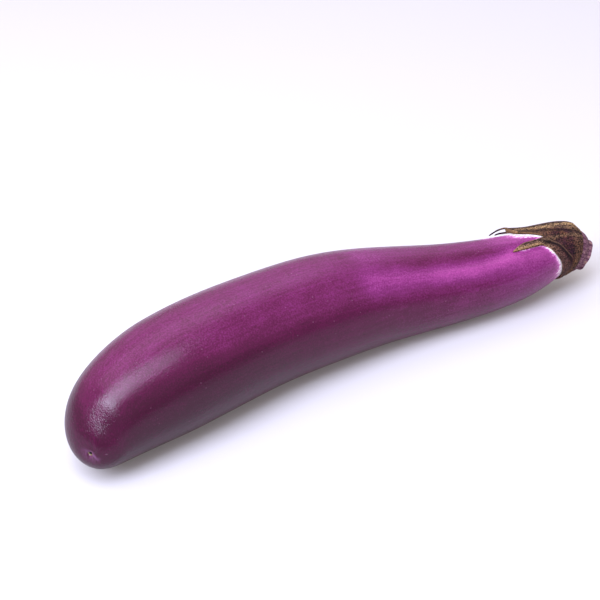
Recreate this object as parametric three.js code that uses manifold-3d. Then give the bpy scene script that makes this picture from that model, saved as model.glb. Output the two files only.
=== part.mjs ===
// A long eggplant lying on its side: the fruit, its calyx and the cut stub of its stem.
// Millimetres, +Z up. +X runs along the fruit from the blossom end to the stem.
// The origin is on the table, below the middle of the object's box.
import * as THREE from "three";
import { mergeVertices } from "three/addons/utils/BufferGeometryUtils.js";
import Module from "manifold-3d";

// ---------------------------------------------------------------- driving dimensions

// Middle line of the whole body, as control points of a smooth curve.
// Each row: along X, along Y, clear height under the body, radius of the body.
const STATIONS = [
  [-143.0, -5.9, 0, 27.2],
  [-132.0, 2.0, 0, 23.5],
  [-80.1, 5.6, 0, 28.0],
  [-38.0, 8.8, 0, 26.2],
  [-4.7, 5.9, 0, 26.3],
  [26.7, 1.6, 0, 23.1],
  [59.3, -7.6, 0, 19.8],
  [105.5, -18.4, 2.8, 16.8],
  [125.5, -17.8, 12.8, 10.6],
  [137.9, -25.0, 3.5, 12.9],
];

// Places along the middle line are shares: 0 at the blossom end, 1 at the stem's cut.
const BLOSSOM_ROUNDING = { end: 0.203, power: 1.67 };
const BLOSSOM_LEAN = new THREE.Vector3(4.4, -8.9, -6.8);
const SHOULDER = { start: 0.855, end: 0.925, power: 2.3 };
const STEM_TAPER = { start: 0.923, end: 0.987, power: 1.13, radius: 7.9 };
const STEM_BASE = 0.931;
const STEM_RIDGES = { start: 0.955, full: 0.975, height: 0.22 };
const CALYX_TIPS = 0.77;
const CALYX_COLLAR = 0.865;
const CALYX_MOUTH = 0.943;
const CALYX_RELIEF_FADE = 0.91;

const FLAT_DEPTH = 0.35;
const GAP = 0.32;
const CALYX_STANDOFF = 0.4;
const CALYX_HEIGHT = 1.8;
const CALYX_EDGE_HEIGHT = 1.05;
const CALYX_LIP = 0.8;
const STEM_NECK_END = 0.963;

// Small dry scar where the flower fell off: a pit in a shallow saucer.
const SCAR = {
  share: 0.0023, angle: 245, pitDepth: 1.3, pitRadius: 1.7, saucerDepth: 0.7, saucerRadius: 6,
};

// Long soft grooves that run down the neck from the calyx's lobes, and one rib between them.
const FLUTES = [
  { angle: 30, depth: 1.15, width: 10, start: 0.45, end: 0.68 },
  { angle: 42, depth: -0.35, width: 9, start: 0.45, end: 0.68 },
  { angle: 172, depth: 0.7, width: 14, start: 0.6, end: 0.75 },
  { angle: 216, depth: 0.6, width: 14, start: 0.6, end: 0.75 },
  { angle: 265, depth: 0.7, width: 14, start: 0.6, end: 0.75 },
  { angle: 325, depth: 0.6, width: 13, start: 0.6, end: 0.75 },
];

// Free edge of the calyx: angle round the fruit (0 up, 90 towards -Y) and share.
const CALYX_EDGE = [
  [14, 0.823], [15.8, 0.806], [16.8, 0.79], [16.8, 0.774], [20, 0.762], [26.5, 0.7485],
  [25.8, 0.762], [26.3, 0.777], [25.3, 0.795], [30, 0.812], [41, 0.8215], [60, 0.8325],
  [82, 0.8415], [104, 0.8445], [124, 0.848], [150, 0.85], [162, 0.818], [172, 0.785],
  [182, 0.808], [194, 0.83], [205, 0.808], [216, 0.776], [228, 0.806], [241, 0.828],
  [253, 0.804], [265, 0.77], [277, 0.803], [291, 0.826], [303, 0.803], [314, 0.781],
  [323, 0.773], [334, 0.771], [346, 0.778], [353, 0.792], [360, 0.806], [368.5, 0.8185],
];

// Raised midribs of the calyx, each from its lobe's tip to the stem.
const CALYX_RIBS = [
  { angles: [-30, -6], height: 1.1, width: 14 },
  { angles: [22, 28], height: 0.35, width: 6 },
  { angles: [172, 162], height: 0.6, width: 10 },
  { angles: [216, 210], height: 0.6, width: 10 },
  { angles: [265, 262], height: 0.6, width: 10 },
];

// A fold that starts beside the long lobe and sweeps to the stem, as share and angle.
const FOLD = {
  line: [[0.805, 24], [0.83, 35], [0.848, 51], [0.8725, 71.5], [0.8845, 79], [0.943, 100]],
  step: 0.75, fadeAngle: 70, start: 0.795, full: 0.83,
};

// The blunt tip of the top lobe curls up, away from the fruit.
const TIP_CURL = { angle: 318, width: 20, height: 1.8, start: 0.765, end: 0.82, inner: 0.4 };

// Two dried threads that curl off the top lobe: share, angle and height above the fruit.
const THREADS = [
  [[0.782, 326, 2.3], [0.772, 326, 2.95], [0.759, 326, 2.55], [0.7515, 326, 2], [0.7415, 326, 0.9]],
  [[0.782, 330, 1.3], [0.769, 330, 1.35], [0.756, 330, 1.4], [0.747, 330, 0.85]],
];
const THREAD = { radius: 0.38, taper: 0.35, sides: 6, rows: 8 };

const COLOURS = { skin: "#7a3468", calyx: "#5c4438", stem: "#6b5058" };

// ---------------------------------------------------------------- small helpers

const clamp01 = (value) => Math.min(1, Math.max(0, value));
const smooth = (from, to, value) => THREE.MathUtils.smoothstep(value, from, to);
const radians = (angle) => THREE.MathUtils.degToRad(angle);
const bell = (offset, width) => Math.exp(-((offset / width) ** 2));

// Difference of two angles in degrees, between -180 and 180.
function turn(angle, from) {
  return THREE.MathUtils.euclideanModulo(angle - from + 180, 360) - 180;
}

// Uniform cubic B-spline over one column of STATIONS, meeting the end values.
function station(column, share) {
  const last = STATIONS.length - 1;
  const scaled = clamp01(share) * last;
  const index = Math.min(Math.floor(scaled), last - 1);
  const u = scaled - index;
  const at = (i) => {
    if (i < 0) return 2 * STATIONS[0][column] - STATIONS[1][column];
    if (i > last) return 2 * STATIONS[last][column] - STATIONS[last - 1][column];
    return STATIONS[i][column];
  };
  const weights = [(1 - u) ** 3, 3 * u ** 3 - 6 * u ** 2 + 4, -3 * u ** 3 + 3 * u ** 2 + 3 * u + 1, u ** 3];
  return weights.reduce((sum, weight, i) => sum + weight * at(index - 1 + i), 0) / 6;
}

// Value at a share on a line given as [share, value] rows.
function along(line, share) {
  const next = line.findIndex((row) => row[0] > share);
  if (next === 0) return line[0][1];
  if (next < 0) return line[line.length - 1][1];
  const [fromShare, fromValue] = line[next - 1];
  const [toShare, toValue] = line[next];
  return fromValue + (toValue - fromValue) * ((share - fromShare) / (toShare - fromShare));
}

// ---------------------------------------------------------------- the body's middle line

function middle(share) {
  return new THREE.Vector3(station(0, share), station(1, share), station(2, share) + station(3, share));
}

function axes(share) {
  const step = 0.001;
  const ahead = middle(Math.min(1, share + step)).sub(middle(Math.max(0, share - step))).normalize();
  const side = new THREE.Vector3().crossVectors(ahead, new THREE.Vector3(0, 0, 1)).normalize();
  const up = new THREE.Vector3().crossVectors(side, ahead);
  return { ahead, side, up };
}

// Direction away from the middle line: angle 0 is up, 90 is sideways towards -Y.
function outward(share, angle) {
  const { side, up } = axes(share);
  const turned = radians(angle);
  return up.multiplyScalar(Math.cos(turned)).addScaledVector(side, Math.sin(turned));
}

// The tip of the blossom end leans out of the middle line, so its rounding is lopsided.
function pointAt(share, angle, radius) {
  const lean = clamp01(1 - share / BLOSSOM_ROUNDING.end) ** 2;
  return middle(share).addScaledVector(BLOSSOM_LEAN, lean).addScaledVector(outward(share, angle), radius);
}

// ---------------------------------------------------------------- radii

// Rounding of an end: 1 where the body is full, 0 at its tip.
function rounding(distance, power) {
  return (1 - clamp01(distance) ** power) ** (1 / power);
}

function flutes(share, angle) {
  return FLUTES.reduce(
    (sum, flute) => sum - flute.depth * smooth(flute.start, flute.end, share)
      * bell(turn(angle, flute.angle), flute.width),
    0,
  );
}

function fruitRadius(share, angle) {
  const blossom = rounding(1 - share / BLOSSOM_ROUNDING.end, BLOSSOM_ROUNDING.power);
  const shoulder = rounding((share - SHOULDER.start) / (SHOULDER.end - SHOULDER.start), SHOULDER.power);
  return (station(3, share) + flutes(share, angle)) * blossom * shoulder;
}

// Outside of the calyx and the stem before any relief.
function coverRadius(share) {
  const full = station(3, share) + CALYX_HEIGHT;
  const taper = rounding((share - STEM_TAPER.start) / (STEM_TAPER.end - STEM_TAPER.start), STEM_TAPER.power);
  return STEM_TAPER.radius + (full - STEM_TAPER.radius) * taper;
}

function stemRadius(share) {
  const outside = coverRadius(Math.max(share, CALYX_MOUTH));
  return outside - (CALYX_LIP + GAP) * (1 - smooth(CALYX_MOUTH, STEM_NECK_END, share));
}

function tipCurl(share, angle) {
  const nearTip = 1 - smooth(TIP_CURL.start, TIP_CURL.end, share);
  return TIP_CURL.height * nearTip * bell(turn(angle, TIP_CURL.angle), TIP_CURL.width);
}

function calyxInnerRadius(share, angle) {
  const overFruit = fruitRadius(share, angle) + CALYX_STANDOFF + TIP_CURL.inner * tipCurl(share, angle);
  return Math.max(overFruit, stemRadius(share) + GAP);
}

// Ribs and the fold on the outside of the calyx.
function calyxRelief(share, angle) {
  const toStem = clamp01((share - CALYX_TIPS) / (CALYX_MOUTH - CALYX_TIPS));
  const fade = 1 - smooth(CALYX_RELIEF_FADE, CALYX_MOUTH, share);
  const ribs = CALYX_RIBS.reduce((sum, rib) => {
    const line = rib.angles[0] + (rib.angles[1] - rib.angles[0]) * toStem;
    return sum + rib.height * bell(turn(angle, line), rib.width);
  }, 0);
  const past = turn(angle, along(FOLD.line, share));
  const fold = smooth(-1, 3, past) * (1 - smooth(0, FOLD.fadeAngle, past)) * smooth(FOLD.start, FOLD.full, share);
  return (ribs - FOLD.step * fold) * fade + tipCurl(share, angle);
}

// ---------------------------------------------------------------- solids

const wasm = await Module();
wasm.setup();

function toSolid(geometry) {
  geometry.deleteAttribute("normal");
  geometry.deleteAttribute("uv");
  const merged = mergeVertices(geometry);
  return new wasm.Manifold(new wasm.Mesh({
    numProp: 3,
    vertProperties: Float32Array.from(merged.attributes.position.array),
    triVerts: Uint32Array.from(merged.index.array),
  }));
}

function toGeometry(solid) {
  const mesh = solid.getMesh();
  const geometry = new THREE.BufferGeometry();
  geometry.setAttribute("position", new THREE.BufferAttribute(mesh.vertProperties, 3));
  geometry.setIndex(new THREE.BufferAttribute(mesh.triVerts, 1));
  geometry.computeVertexNormals();
  return geometry;
}

// Moves every vertex of a simple shape to the point that place(x, y, z, u, v) returns.
function reshape(geometry, place) {
  const { position, uv } = geometry.attributes;
  for (let i = 0; i < position.count; i += 1) {
    const point = place(position.getX(i), position.getY(i), position.getZ(i), uv.getX(i), uv.getY(i));
    position.setXYZ(i, point.x, point.y, point.z);
  }
  return geometry;
}

// ---------------------------------------------------------------- the fruit

const FRUIT_SIDES = 48;
const FRUIT_RINGS = 48;
const BLOSSOM_RINGS = 14;
const SHOULDER_RINGS = 8;

// Share of a ring: close together where the ends round off, even between them.
function ringShare(ring) {
  const shoulderRing = FRUIT_RINGS - SHOULDER_RINGS;
  if (ring <= BLOSSOM_RINGS) {
    const swing = (ring / BLOSSOM_RINGS) * (Math.PI / 2);
    return BLOSSOM_ROUNDING.end * (1 - Math.cos(swing) ** (2 / BLOSSOM_ROUNDING.power));
  }
  if (ring <= shoulderRing) {
    const even = (ring - BLOSSOM_RINGS) / (shoulderRing - BLOSSOM_RINGS);
    return BLOSSOM_ROUNDING.end + even * (SHOULDER.start - BLOSSOM_ROUNDING.end);
  }
  const swing = ((ring - shoulderRing) / SHOULDER_RINGS) * (Math.PI / 2);
  return SHOULDER.start + (SHOULDER.end - SHOULDER.start) * Math.sin(swing) ** (2 / SHOULDER.power);
}

function scarDepth(point) {
  const centre = pointAt(SCAR.share, SCAR.angle, fruitRadius(SCAR.share, SCAR.angle));
  const distance = point.distanceTo(centre);
  return SCAR.pitDepth * bell(distance, SCAR.pitRadius) + SCAR.saucerDepth * bell(distance, SCAR.saucerRadius);
}

function makeFruit() {
  const shape = new THREE.SphereGeometry(1, FRUIT_SIDES, FRUIT_RINGS);
  reshape(shape, (x, y, z, u, v) => {
    const share = ringShare(Math.round((1 - v) * FRUIT_RINGS));
    const angle = -360 * u;
    const point = pointAt(share, angle, fruitRadius(share, angle));
    return point.addScaledVector(axes(0).ahead, scarDepth(point));
  });
  const body = toSolid(shape);
  const below = new THREE.BoxGeometry(400, 200, 40).translate(0, 0, FLAT_DEPTH - 20);
  return toGeometry(body.subtract(toSolid(below)));
}

// ---------------------------------------------------------------- the calyx

const EDGE_STEPS = 3;
const COLUMNS = CALYX_EDGE.length * EDGE_STEPS;
const ROWS = 12;
const ROW_SPREAD = 0.55;
const NECK_RADIUS = 15.5;
const NECK_LENGTH = 330;

// The free edge as a smooth closed curve round a plain cylinder, as [angle, share] for every column.
function edgeColumns() {
  const corners = CALYX_EDGE.map(([angle, share]) => new THREE.Vector3(
    NECK_RADIUS * Math.cos(radians(angle)),
    NECK_RADIUS * Math.sin(radians(angle)),
    NECK_LENGTH * share,
  ));
  const curve = new THREE.CatmullRomCurve3(corners, true, "centripetal");
  return curve.getPoints(COLUMNS).slice(0, COLUMNS).map((point) => [
    THREE.MathUtils.radToDeg(Math.atan2(point.y, point.x)),
    point.z / NECK_LENGTH,
  ]);
}

const EDGE = edgeColumns();

// Place on the calyx: column round the edge, row 0 at the free edge to ROWS at the stem.
function calyxPlace(column, row) {
  const [edgeAngle, edgeShare] = EDGE[column % COLUMNS];
  const half = ROWS / 2;
  const share = row <= half
    ? edgeShare + (CALYX_COLLAR - edgeShare) * (row / half)
    : CALYX_COLLAR + (CALYX_MOUTH - CALYX_COLLAR) * ((row - half) / half);
  const evenAngle = EDGE[0][0] + 360 * (column / COLUMNS);
  const spread = ROW_SPREAD * (row / ROWS) ** 2;
  return { share, angle: edgeAngle + turn(evenAngle, edgeAngle) * spread };
}

function calyxOuterRadius(share, angle, row) {
  const thin = (CALYX_HEIGHT - CALYX_EDGE_HEIGHT) * (1 - row / ROWS) ** 3;
  const fluted = flutes(share, angle) * (1 - smooth(SHOULDER.start, SHOULDER.end, share));
  return coverRadius(share) + fluted + calyxRelief(share, angle) - thin;
}

function makeThread(route) {
  const curve = new THREE.CatmullRomCurve3(route.map(
    ([share, angle, height]) => pointAt(share, angle, fruitRadius(share, angle) + height),
  ));
  const rod = new THREE.CylinderGeometry(1, 1, 1, THREAD.sides, THREAD.rows);
  return toSolid(reshape(rod, (x, y, z) => {
    const place = clamp01(y + 0.5);
    const tangent = curve.getTangent(place);
    const side = new THREE.Vector3().crossVectors(tangent, new THREE.Vector3(0, 0, 1)).normalize();
    const up = new THREE.Vector3().crossVectors(side, tangent);
    const radius = THREAD.radius * (1 - THREAD.taper * place);
    return curve.getPoint(place).addScaledVector(side, radius * x).addScaledVector(up, radius * z);
  }));
}

function makeCalyx() {
  const profile = 2 * (ROWS + 1);
  const shape = new THREE.TorusGeometry(1, 0.5, profile, COLUMNS);
  reshape(shape, (x, y, z, u, v) => {
    const column = Math.round(u * COLUMNS);
    const step = Math.round(v * profile) % profile;
    const outside = step <= ROWS;
    const row = outside ? step : profile - 1 - step;
    const { share, angle } = calyxPlace(column, row);
    const radius = outside ? calyxOuterRadius(share, angle, row) : calyxInnerRadius(share, angle);
    return pointAt(share, angle, radius);
  });
  const cup = toSolid(shape);
  return toGeometry(THREADS.reduce((solid, route) => solid.add(makeThread(route)), cup));
}

// ---------------------------------------------------------------- the stem

const STEM_SIDES = 30;
const STEM_ROWS = 8;
const CUT_DISH = 0.5;
const CUT_ROUGHNESS = 0.3;

function makeStem() {
  const shape = new THREE.CylinderGeometry(1, 1, 1, STEM_SIDES, STEM_ROWS);
  return toGeometry(toSolid(reshape(shape, (x, y, z) => {
    const angle = THREE.MathUtils.radToDeg(Math.atan2(x, z));
    const reach = clamp01(y + 0.5);
    const share = STEM_BASE + (1 - STEM_BASE) * reach;
    const fromAxis = Math.hypot(x, z);
    const ridges = Math.cos(radians(5 * angle)) + 0.7 * Math.cos(radians(8 * angle + 50));
    const ridged = stemRadius(share)
      + STEM_RIDGES.height * ridges * smooth(STEM_RIDGES.start, STEM_RIDGES.full, share);
    const torn = CUT_ROUGHNESS * (Math.sin(radians(3 * angle + 40)) + 0.6 * Math.sin(radians(7 * angle)));
    const back = fromAxis > 0 ? torn : -CUT_DISH;
    return pointAt(share, angle, fromAxis * ridged).addScaledVector(axes(share).ahead, back * reach ** 4);
  })));
}

// ---------------------------------------------------------------- assembly

function addPiece(name, geometry, colour, roughness) {
  const material = new THREE.MeshStandardMaterial({ color: colour, roughness, metalness: 0 });
  const mesh = new THREE.Mesh(geometry, material);
  mesh.name = name;
  eggplant.add(mesh);
}

const eggplant = new THREE.Group();
addPiece("fruit", makeFruit(), COLOURS.skin, 0.4);
addPiece("calyx", makeCalyx(), COLOURS.calyx, 0.85);
addPiece("stem", makeStem(), COLOURS.stem, 0.85);

// The flat that the fruit rests on lies on the table, and the box is centred over the origin.
const box = new THREE.Box3().setFromObject(eggplant);
eggplant.position.set(-(box.min.x + box.max.x) / 2, -(box.min.y + box.max.y) / 2, -box.min.z);

export default eggplant;
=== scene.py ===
import math
from functools import lru_cache

import bmesh
import bpy
from mathutils import Matrix, Vector, kdtree


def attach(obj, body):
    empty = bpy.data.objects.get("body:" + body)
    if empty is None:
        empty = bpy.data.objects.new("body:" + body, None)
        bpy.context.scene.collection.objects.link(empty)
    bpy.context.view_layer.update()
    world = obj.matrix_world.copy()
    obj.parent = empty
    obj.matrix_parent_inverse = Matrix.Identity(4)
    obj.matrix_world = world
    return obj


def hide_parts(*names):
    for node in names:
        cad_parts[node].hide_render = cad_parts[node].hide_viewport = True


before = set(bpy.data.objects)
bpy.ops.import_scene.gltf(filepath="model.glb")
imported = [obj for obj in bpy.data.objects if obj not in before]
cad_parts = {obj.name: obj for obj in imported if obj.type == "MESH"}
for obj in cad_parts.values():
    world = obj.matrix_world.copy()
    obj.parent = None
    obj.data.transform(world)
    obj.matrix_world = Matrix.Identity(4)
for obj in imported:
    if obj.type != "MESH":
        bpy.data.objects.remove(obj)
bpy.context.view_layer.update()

# ---------------------------------------------------------------- the body's measures, in millimetres

MM = 0.001

# Middle line of the whole body: along X, along Y, clear height under the body, radius.
STATIONS = [
    (-143.0, -5.9, 0.0, 27.2),
    (-132.0, 2.0, 0.0, 23.5),
    (-80.1, 5.6, 0.0, 28.0),
    (-38.0, 8.8, 0.0, 26.2),
    (-4.7, 5.9, 0.0, 26.3),
    (26.7, 1.6, 0.0, 23.1),
    (59.3, -7.6, 0.0, 19.8),
    (105.5, -18.4, 2.8, 16.8),
    (125.5, -17.8, 12.8, 10.6),
    (137.9, -25.0, 3.5, 12.9),
]
# The body is set down so that its flat lies on the table and its box is centred.
SET_DOWN = Vector((0.024, -0.614, -0.35))
FLAT_DEPTH = 0.35

# Places along the middle line are shares: 0 at the blossom end, 1 at the stem's cut.
BLOSSOM_END, BLOSSOM_POWER = 0.203, 1.67
BLOSSOM_LEAN = Vector((4.4, -8.9, -6.8))
SHOULDER_START, SHOULDER_END, SHOULDER_POWER = 0.855, 0.925, 2.3
TAPER_START, TAPER_END, TAPER_POWER, STEM_RADIUS = 0.923, 0.987, 1.13, 7.9
STEM_BASE = 0.931
CALYX_TIPS, CALYX_COLLAR, CALYX_MOUTH = 0.77, 0.865, 0.943
CALYX_HEIGHT, CALYX_EDGE_HEIGHT, CALYX_STANDOFF = 1.8, 1.05, 0.35
STEM_GAP, STEM_STEP, STEM_NECK_END = 0.3, 1.12, 0.963

# Soft grooves down the neck: angle, depth, width in degrees, share where it starts and is full.
FLUTES = [
    (30, 1.15, 10, 0.45, 0.68),
    (42, -0.35, 9, 0.45, 0.68),
    (172, 0.7, 14, 0.6, 0.75),
    (216, 0.6, 14, 0.6, 0.75),
    (265, 0.7, 14, 0.6, 0.75),
    (325, 0.6, 13, 0.6, 0.75),
]

# Free edge of the calyx: angle round the fruit (0 up, 90 towards -Y) and share.
CALYX_EDGE = [
    (14, 0.823), (15.8, 0.806), (16.8, 0.79), (16.8, 0.774), (20, 0.762), (26.5, 0.7485),
    (25.8, 0.762), (26.3, 0.777), (25.3, 0.795), (30, 0.8105), (41, 0.8195), (60, 0.831),
    (82, 0.8415), (104, 0.8445), (124, 0.848), (150, 0.85), (162, 0.818), (172, 0.785),
    (182, 0.808), (194, 0.83), (205, 0.808), (216, 0.776), (228, 0.806), (241, 0.828),
    (253, 0.804), (265, 0.77), (277, 0.803), (291, 0.826), (303, 0.803), (314, 0.781),
    (323, 0.773), (334, 0.771), (346, 0.778), (353, 0.792), (360, 0.806), (368.5, 0.8185),
]
# Raised midribs of the calyx: angle at the tip, angle at the stem, height, width in degrees.
CALYX_RIBS = [
    (-30, -6, 1.1, 14),
    (22, 28, 0.35, 6),
    (172, 162, 0.6, 10),
    (216, 210, 0.6, 10),
    (265, 262, 0.6, 10),
]
# Lines along the calyx, in rows of share and angle: where the leaf folds over, the crease below the
# top lobe's midrib, and the upper border of the worn run on that midrib.
FOLD_LINE = [
    (0.805, 20), (0.819, 24.8), (0.83, 28), (0.843, 37.7), (0.85, 46.5),
    (0.86, 58.9), (0.8734, 71.6), (0.9, 85), (0.943, 100),
]
UNDER_RIB = [(0.79, -12), (0.81, -6.2), (0.84, 1), (0.864, 7.9), (0.891, 13.8), (0.916, 16.8), (0.943, 17.5)]
RIB_TOP = [(0.79, -19), (0.816, -13.5), (0.85, -9.5), (0.89, -6.5), (0.92, -9), (0.943, -9)]
FOLD_STEP = 0.75
# Dried threads on the top lobe: share, angle and height above the fruit.
THREADS = {
    "dry_thread_long": [
        (0.782, 326, 2.3), (0.772, 326, 3.45), (0.759, 326, 3.2), (0.7505, 326, 2.4), (0.7395, 326, 0.95),
    ],
    "dry_thread_short": [(0.782, 331, 1.2), (0.769, 331, 1.2), (0.756, 330, 1.3), (0.747, 330, 0.85)],
}
# Radius of each thread where it leaves the lobe and at its tip.
THREAD_RADII = {"dry_thread_long": (0.5, 0.36), "dry_thread_short": (0.65, 0.32)}
# The skin that the top lobe's dried threads once covered, as share and angle.
PALE_LINE = [
    (0.727, -22), (0.734, -22.5), (0.741, -22.5), (0.748, -21.5), (0.755, -19.5), (0.762, -16), (0.769, -12),
]
SCAR_SHARE, SCAR_ANGLE = 0.0023, 245


# ---------------------------------------------------------------- small helpers

def clamp01(value):
    """The value held between 0 and 1."""
    return min(1.0, max(0.0, value))


def smooth(start, end, value):
    """Eases from 0 at start to 1 at end."""
    x = clamp01((value - start) / (end - start))
    return x * x * (3 - 2 * x)


def bell(offset, width):
    """1 in the middle, falling off smoothly on both sides."""
    return math.exp(-(offset / width) ** 2)


def turn(angle, start):
    """Difference of two angles in degrees, between -180 and 180."""
    return (angle - start + 180) % 360 - 180


def along(line, place):
    """Value at a place on a line of (place, value) rows."""
    if place <= line[0][0]:
        return line[0][1]
    for (start, low), (end, high) in zip(line, line[1:]):
        if place <= end:
            return low + (high - low) * (place - start) / (end - start)
    return line[-1][1]


# ---------------------------------------------------------------- the body's middle line and radii

@lru_cache(maxsize=None)
def station(column, share):
    """Uniform cubic B-spline over one column of STATIONS, meeting the end values."""
    last = len(STATIONS) - 1
    scaled = clamp01(share) * last
    index = min(int(scaled), last - 1)
    u = scaled - index
    rows = [row[column] for row in STATIONS]
    rows = [2 * rows[0] - rows[1]] + rows + [2 * rows[-1] - rows[-2]]
    weights = ((1 - u) ** 3, 3 * u ** 3 - 6 * u ** 2 + 4, -3 * u ** 3 + 3 * u ** 2 + 3 * u + 1, u ** 3)
    return sum(weight * rows[index + i] for i, weight in enumerate(weights)) / 6


def middle(share):
    """The body's middle line, before it leans over at the blossom end."""
    return Vector((station(0, share), station(1, share), station(2, share) + station(3, share)))


@lru_cache(maxsize=None)
def axes(share):
    """Directions ahead towards the stem, to the side and up."""
    ahead = (middle(min(1, share + 0.001)) - middle(max(0, share - 0.001))).normalized()
    side = ahead.cross(Vector((0, 0, 1))).normalized()
    return ahead, side, side.cross(ahead)


@lru_cache(maxsize=None)
def centre(share):
    """The middle line, bent down and to the front over the blossom end."""
    return middle(share) + BLOSSOM_LEAN * clamp01(1 - share / BLOSSOM_END) ** 2


def body_point(share, angle, radius):
    """A point at a radius from the middle line, before the body is set down."""
    ahead, side, up = axes(share)
    turned = math.radians(angle)
    return centre(share) + (up * math.cos(turned) + side * math.sin(turned)) * radius


def rounding(distance, power):
    """Radius of a rounded end: 1 where it starts, 0 at its tip."""
    return (1 - clamp01(distance) ** power) ** (1 / power)


def flutes(share, angle):
    """Change of the radius by the soft grooves."""
    return -sum(
        depth * smooth(start, full, share) * bell(turn(angle, place), width)
        for place, depth, width, start, full in FLUTES
    )


def fruit_radius(share, angle):
    blossom = rounding(1 - share / BLOSSOM_END, BLOSSOM_POWER)
    shoulder = rounding((share - SHOULDER_START) / (SHOULDER_END - SHOULDER_START), SHOULDER_POWER)
    return (station(3, share) + flutes(share, angle)) * blossom * shoulder


def cover_radius(share):
    """The calyx's outside and the stem's root, which are one smooth taper."""
    taper = rounding((share - TAPER_START) / (TAPER_END - TAPER_START), TAPER_POWER)
    return STEM_RADIUS + (station(3, share) + CALYX_HEIGHT - STEM_RADIUS) * taper


def stem_radius(share):
    """The stem, a step below the calyx's mouth and flush with the taper further out."""
    outside = cover_radius(max(share, CALYX_MOUTH))
    return outside - STEM_STEP * (1 - smooth(CALYX_MOUTH, STEM_NECK_END, share))


LENGTH_STEPS = 60


@lru_cache(maxsize=None)
def length_at(share):
    """Length along the middle line up to a share."""
    places = [share * i / LENGTH_STEPS for i in range(LENGTH_STEPS + 1)]
    return sum((middle(b) - middle(a)).length for a, b in zip(places, places[1:]))


def straightened(share, angle, radius):
    """Where a point would lie if the body were straight, so patterns follow its bends."""
    turned = math.radians(angle)
    return Vector((radius * math.cos(turned), radius * math.sin(turned), length_at(round(share, 4)))) * MM


def on_table(point):
    """A point of the body in metres, after it is set down."""
    return (point + SET_DOWN) * MM


# ---------------------------------------------------------------- the calyx's free edge

def rounded_loop(corners, steps):
    """Centripetal curve through the corners of a closed loop."""
    points = []
    count = len(corners)
    for i in range(count):
        before, start, end, after = (corners[(i + k) % count] for k in (-1, 0, 1, 2))
        d0 = max((start - before).length ** 0.5, 1e-4)
        d1 = max((end - start).length ** 0.5, 1e-4)
        d2 = max((after - end).length ** 0.5, 1e-4)
        leave = ((start - before) / d0 - (end - before) / (d0 + d1) + (end - start) / d1) * d1
        reach = ((end - start) / d1 - (after - start) / (d1 + d2) + (after - end) / d2) * d1
        for k in range(steps):
            u = k / steps
            points.append(
                start + leave * u + (end * 3 - start * 3 - leave * 2 - reach) * u ** 2
                + (start * 2 - end * 2 + leave + reach) * u ** 3
            )
    return points


EDGE_STEPS = 12
NECK_RADIUS, NECK_LENGTH = 15.5, 330.0


def calyx_edge():
    """The free edge as close rows of angle and share, rounded on a straight cylinder like the neck."""
    corners = [
        Vector((NECK_RADIUS * math.cos(math.radians(angle)), NECK_RADIUS * math.sin(math.radians(angle)),
                NECK_LENGTH * share))
        for angle, share in CALYX_EDGE
    ]
    loop = rounded_loop(corners, EDGE_STEPS)
    return [(math.degrees(math.atan2(p.y, p.x)), p.z / NECK_LENGTH) for p in loop]


EDGE = calyx_edge()
EDGE_POINTS = [body_point(s, a, fruit_radius(s, a)) for a, s in EDGE]
edge_tree = kdtree.KDTree(len(EDGE_POINTS))
for number, edge_point in enumerate(EDGE_POINTS):
    edge_tree.insert(edge_point, number)
edge_tree.balance()


def under_calyx(share, angle):
    """True if the edge is crossed an odd number of times on the way from the blossom end."""
    crossings = 0
    for (a0, s0), (a1, s1) in zip(EDGE, EDGE[1:] + EDGE[:1]):
        low, high = turn(a0, angle), turn(a1, angle)
        if abs(low) < 90 and (low > 0) != (high > 0):
            place = s0 + (s1 - s0) * low / (low - high)
            crossings += place < share
    return crossings % 2 == 1


# ---------------------------------------------------------------- meshes

def face_outwards(bm):
    bmesh.ops.recalc_face_normals(bm, faces=bm.faces)
    if bm.calc_volume(signed=True) < 0:
        bmesh.ops.reverse_faces(bm, faces=bm.faces)


def add_piece(name, bm, material, slot, *nodes):
    """Turns a bmesh into a piece that rides on the part's one body and stands for CAD nodes."""
    face_outwards(bm)
    for face in bm.faces:
        face.smooth = True
    mesh = bpy.data.meshes.new(name)
    bm.to_mesh(mesh)
    bm.free()
    piece = bpy.data.objects.new(name, mesh)
    bpy.context.scene.collection.objects.link(piece)
    mesh.materials.append(material)
    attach(piece, "root")
    if nodes:
        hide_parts(*nodes)


FRUIT_SIDES = 192
# Rings of the fruit: how many, and the share where each stretch ends.
BLOSSOM_RINGS, BODY_RINGS, NECK_RINGS, SHOULDER_RINGS = 64, 120, 80, 12
NECK_START = 0.72
FRUIT_RINGS = BLOSSOM_RINGS + BODY_RINGS + NECK_RINGS + SHOULDER_RINGS


def fruit_ring_share(ring):
    """Rings close up towards both ends, so that the rounded ends stay smooth."""
    if ring <= BLOSSOM_RINGS:
        swing = math.cos(ring / BLOSSOM_RINGS * math.pi / 2)
        return BLOSSOM_END * (1 - max(0.0, swing) ** (2 / BLOSSOM_POWER))
    ring -= BLOSSOM_RINGS
    if ring <= BODY_RINGS:
        return BLOSSOM_END + (NECK_START - BLOSSOM_END) * ring / BODY_RINGS
    ring -= BODY_RINGS
    if ring <= NECK_RINGS:
        return NECK_START + (SHOULDER_START - NECK_START) * ring / NECK_RINGS
    swing = math.sin((ring - NECK_RINGS) / SHOULDER_RINGS * math.pi / 2)
    return SHOULDER_START + (SHOULDER_END - SHOULDER_START) * swing ** (2 / SHOULDER_POWER)


SCAR_CENTRE = body_point(SCAR_SHARE, SCAR_ANGLE, fruit_radius(SCAR_SHARE, SCAR_ANGLE))
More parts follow.
